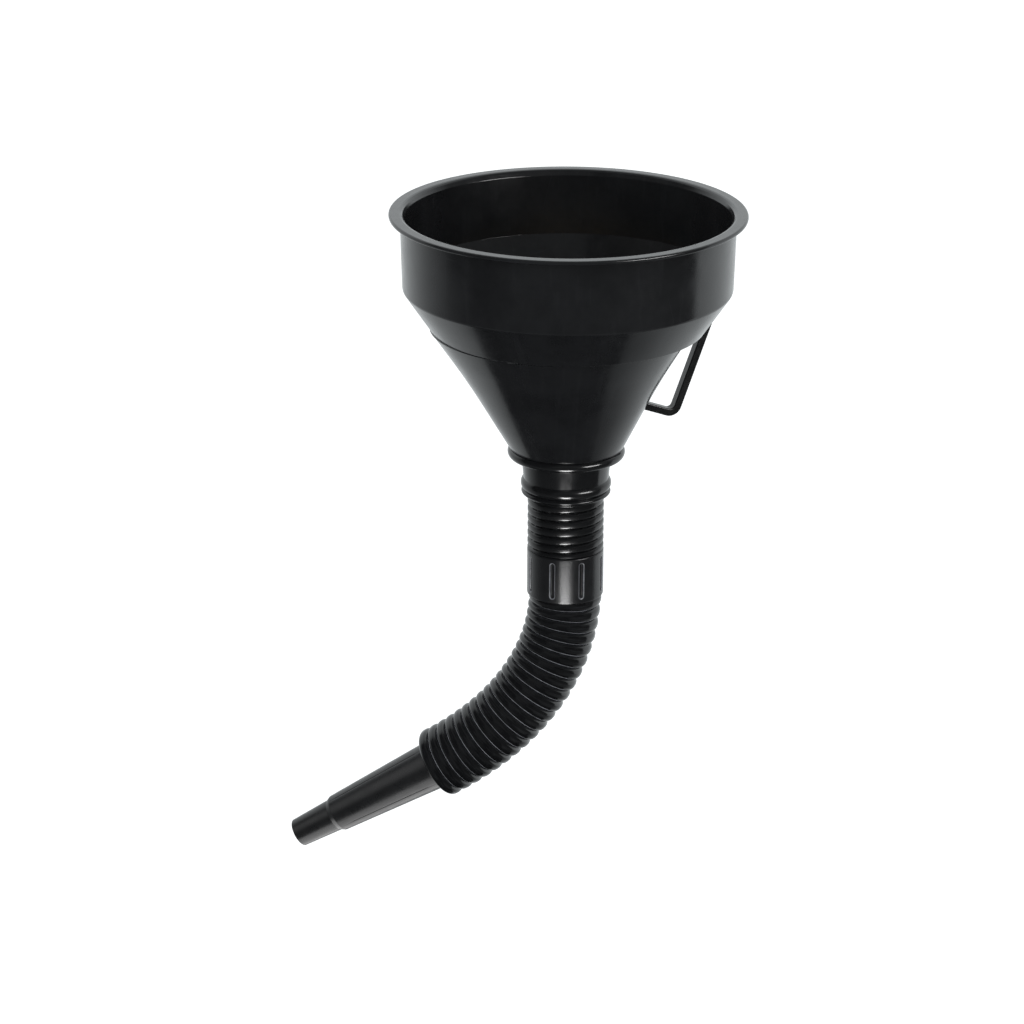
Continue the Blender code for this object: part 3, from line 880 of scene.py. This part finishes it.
def nozzle_angles(fine):
    angles = [2 * pi * i / 144 for i in range(144)]
    for centre in fine:
        angles += [centre + LINE_HALF * step for step in (-1.0, -0.5, 0.0, 0.5, 1.0)]
    angles = sorted(angle % (2 * pi) for angle in angles)
    kept = [angles[0]]
    for angle in angles[1:]:
        if angle - kept[-1] > radians(0.1):
            kept.append(angle)
    return kept


# ---------------------------------------------------------------- studio


def world_light():
    """A white studio behind the object, dimmer on the left, and a dark room before and beneath it."""
    world = bpy.data.worlds.new("studio")
    bpy.context.scene.world = world
    world.use_nodes = True
    tree = world.node_tree
    way = node(tree, "SeparateXYZ", (("Vector", node(tree, "TexCoord").outputs["Generated"]),))
    x, y, z = way.outputs
    right = ramp(tree, y, 0.135, 0.165, 0.06, 1.0)
    left = ramp(tree, y, -0.35, 0.88, 0.06, 0.95)
    on_right = ramp(tree, x, -0.05, 0.05, 0.0, 1.0)
    level = node(tree, "Mix", ((0, on_right), (2, left), (3, right))).outputs[0]
    below = ramp(tree, y, -0.05, 0.62, 0.14, 0.7)
    is_below = ramp(tree, z, -0.42, -0.66, 0.0, 1.0)
    above = ramp(tree, y, 0.0, 0.6, 0.14, 1.0)
    is_above = ramp(tree, z, 0.02, 0.30, 0.0, 1.0)
    level = node(tree, "Mix", ((0, is_below), (2, level), (3, below))).outputs[0]
    level = node(tree, "Mix", ((0, is_above), (2, level), (3, above))).outputs[0]
    soft, backdrop = 0.5, 1.06
    path = node(tree, "LightPath").outputs
    level = node(tree, "Mix", ((0, path["Is Diffuse Ray"]), (2, level), (3, soft))).outputs[0]
    strength = node(tree, "Mix", ((0, path["Is Camera Ray"]), (2, level), (3, backdrop))).outputs[0]
    warmth = node(tree, "Mix", ((0, path["Is Camera Ray"]), (6, (0.94, 0.985, 1.0, 1.0))), data_type="RGBA")
    warmth.inputs[7].default_value = (1.0, 1.0, 1.0, 1.0)
    background = tree.nodes["Background"]
    tree.links.new(warmth.outputs[2], background.inputs["Color"])
    tree.links.new(strength, background.inputs["Strength"])


def panel(name, centre, target, size, radiance, fade, lights):
    """A glowing studio panel with soft edges that faces the target.

    fade is the share of each half width over which it dims, and lights holds the starts of the
    names of the pieces that it lights.
    """
    material = bpy.data.materials.new(name)
    material.use_nodes = True
    tree = material.node_tree
    tree.nodes.remove(tree.nodes["Principled BSDF"])
    spot = node(tree, "SeparateXYZ", (("Vector", node(tree, "TexCoord").outputs["Object"]),))
    glow = radiance
    for axis, width in zip((0, 1), fade):
        reach = math(tree, "ABSOLUTE", spot.outputs[axis])
        glow = math(tree, "MULTIPLY", glow, ramp(tree, reach, 1 - width, 1.0, 1.0, 0.0))
    front = math(tree, "SUBTRACT", 1.0, node(tree, "NewGeometry").outputs["Backfacing"])
    glow = math(tree, "MULTIPLY", glow, front)
    light = node(tree, "Emission", (("Strength", glow),)).outputs[0]
    tree.links.new(light, tree.nodes["Material Output"].inputs["Surface"])
    mesh = bpy.data.meshes.new(name)
    mesh.from_pydata([(-1, -1, 0), (1, -1, 0), (1, 1, 0), (-1, 1, 0)], [], [(0, 1, 2, 3)])
    mesh.materials.append(material)
    lamp = bpy.data.objects.new(name, mesh)
    lamp.location = centre
    aim = Vector(target) - Vector(centre)
    lamp.rotation_euler = aim.to_track_quat("Z", "Y").to_euler()
    lamp.scale = (size[0] / 2, size[1] / 2, 1.0)
    lamp.visible_camera = False
    lamp.visible_diffuse = False
    lamp.visible_shadow = False
    bpy.context.scene.collection.objects.link(lamp)
    group = bpy.data.collections.new(name + "_receivers")
    for item in bpy.data.objects:
        if item.name.startswith(lights):
            group.objects.link(item)
    lamp.light_linking.receiver_collection = group


def build_lamps():
    x, y = AXIS.x, AXIS.y
    panel(
        "front_low",
        centre=(x, y - 0.20, -0.06),
        target=(x, y, -0.06),
        size=(0.125, 0.29),
        radiance=22.0,
        fade=(0.6, 0.35),
        lights=("adapter", "thread", "sleeve"),
    )
    panel(
        "right_window",
        centre=(x + 0.905, y - 0.733, 0.49),
        target=(x, y, 0.2),
        size=(0.75, 0.42),
        radiance=13.0,
        fade=(0.3, 0.3),
        lights=("adapter", "sleeve", "bowl", "handle"),
    )
    panel(
        "left_sky",
        centre=(x - 1.0, y - 0.34, 1.12),
        target=(x + 0.03, y + 0.04, 0.28),
        size=(1.6, 0.9),
        radiance=2.2,
        fade=(0.5, 0.5),
        lights=("bowl",),
    )
    panel(
        "nozzle_card",
        centre=(-0.12, -0.05, -0.41),
        target=(-0.07, 0, 0.03),
        size=(0.74, 0.74),
        radiance=2.5,
        fade=(0.3, 0.3),
        lights=("nozzle",),
    )
    panel(
        "nozzle_sky",
        centre=(-0.72, -0.36, 0.46),
        target=(-0.07, 0, 0.03),
        size=(1.1, 1.3),
        radiance=0.8,
        fade=(0.8, 0.8),
        lights=("nozzle",),
    )


def build_floor():
    """A wide pale floor well below the hanging funnel."""
    material = bpy.data.materials.new("pale_floor")
    material.use_nodes = True
    tree = material.node_tree
    shader = tree.nodes["Principled BSDF"]
    coords = node(tree, "TexCoord").outputs["Object"]
    tone = ramp(tree, noise(tree, coords, 2.0, 3.0), 0.3, 0.7, 0.86, 0.90)
    colour = node(tree, "CombineColor", ((0, tone), (1, tone), (2, tone))).outputs[0]
    tree.links.new(colour, shader.inputs["Base Color"])
    shader.inputs["Roughness"].default_value = 0.9
    shader.inputs["Emission Color"].default_value = (1.0, 1.0, 1.0, 1.0)
    shader.inputs["Emission Strength"].default_value = 0.7
    half, level = 14.0, -0.8
    mesh = bpy.data.meshes.new("floor")
    corners = [(-half, -half, level), (half, -half, level), (half, half, level), (-half, half, level)]
    mesh.from_pydata(corners, [], [(0, 1, 2, 3)])
    mesh.materials.append(material)
    floor = bpy.data.objects.new("floor", mesh)
    bpy.context.scene.collection.objects.link(floor)
    floor.visible_glossy = False
    floor.visible_diffuse = False


def build_camera():
    """A long lens in front of the funnel, a little above it and looking down."""
    ahead = Vector(
        (sin(CAMERA_YAW) * cos(CAMERA_PITCH), cos(CAMERA_YAW) * cos(CAMERA_PITCH), -sin(CAMERA_PITCH))
    )
    level = Vector((cos(CAMERA_YAW), -sin(CAMERA_YAW), 0.0))
    plumb = level.cross(ahead)
    right = level * cos(CAMERA_ROLL) + plumb * sin(CAMERA_ROLL)
    up = plumb * cos(CAMERA_ROLL) - level * sin(CAMERA_ROLL)
    data = bpy.data.cameras.new("camera")
    data.sensor_width = SENSOR
    data.lens = LENS
    camera = bpy.data.objects.new("camera", data)
    bpy.context.scene.collection.objects.link(camera)
    spot = PLACE.translation + Vector((0.0, -CAMERA_BACK, CAMERA_UP))
    rotation = Matrix((right, up, -ahead)).transposed().to_4x4()
    camera.matrix_world = Matrix.Translation(spot) @ rotation
    bpy.context.scene.camera = camera


def main():
    satin = plastic("bowl_plastic", 0.0215, 0.18, 0.04, 0.20, 0.0008, streaks=0.004, scratches=0.008)
    gloss = plastic("handle_plastic", 0.012, 0.28, 0.06, 0.25, 0.0008)
    moulded = plastic("adapter_plastic", 0.015, 0.17, 0.04, 0.22, 0.0015, scratches=0.004)
    threaded = plastic("thread_plastic", 0.014, 0.22, 0.05, 0.70, 0.035)
    # The grip and the hose draw a painted highlight line on their marked slot rims and lobe edges.
    grained = plastic("grip_plastic", 0.018, 0.22, 0.05, 0.80, 0.045, line=0.30)
    rubber = plastic("hose_plastic", 0.0125, 0.14, 0.03, 0.25, 0.001, line=0.90)
    matte = plastic("nozzle_plastic", 0.018, 0.30, 0.05, 0.35, 0.010)
    grey = plastic("strainer_plastic", 0.05, 0.35, 0.05, 0.25, 0.002)
    build_bowl(satin)
    build_handle(gloss)
    build_strainer(grey, brass())
    build_adapter(moulded, threaded)
    build_sleeve(grained)
    end = end_frame(*build_hose(rubber))
    build_hose_end(end, rubber)
    build_nozzle(end, matte)
    world_light()
    build_floor()
    build_lamps()
    build_camera()
    scene = bpy.context.scene
    scene.view_settings.view_transform = "Standard"
    scene.view_settings.look = "None"
    scene.cycles.use_denoising = True


main()
